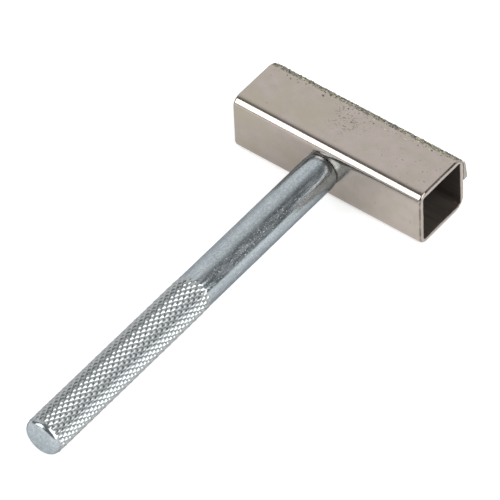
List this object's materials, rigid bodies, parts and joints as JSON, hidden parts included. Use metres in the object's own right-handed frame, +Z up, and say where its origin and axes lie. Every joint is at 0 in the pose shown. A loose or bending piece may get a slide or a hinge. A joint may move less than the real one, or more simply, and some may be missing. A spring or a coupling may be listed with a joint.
{
  "type": "diamond wheel dresser",
  "caption": "Hand-held wheel dresser: an open square tube head with a diamond-coated front face, set across a round steel handle with a knurled grip.",
  "frame": {"origin": "middle of the head's flat underside", "axes": "+X along the head, +Y from the butt of the handle to the diamond face, +Z up out of the head's top face"},
  "size_m": [0.046, 0.1027, 0.0138],
  "materials": {
    "nickel_plate": "nickel-plated steel, satin and slightly mottled",
    "zinc_plate": "bright zinc-plated steel, faint lengthwise streaks",
    "diamond_grit": "rough diamond grit in electroplated nickel"
  },
  "bodies": {
    "root": {"head_tube": "nickel_plate", "handle": "zinc_plate", "diamond_face": "diamond_grit"}
  },
  "joints": []
}
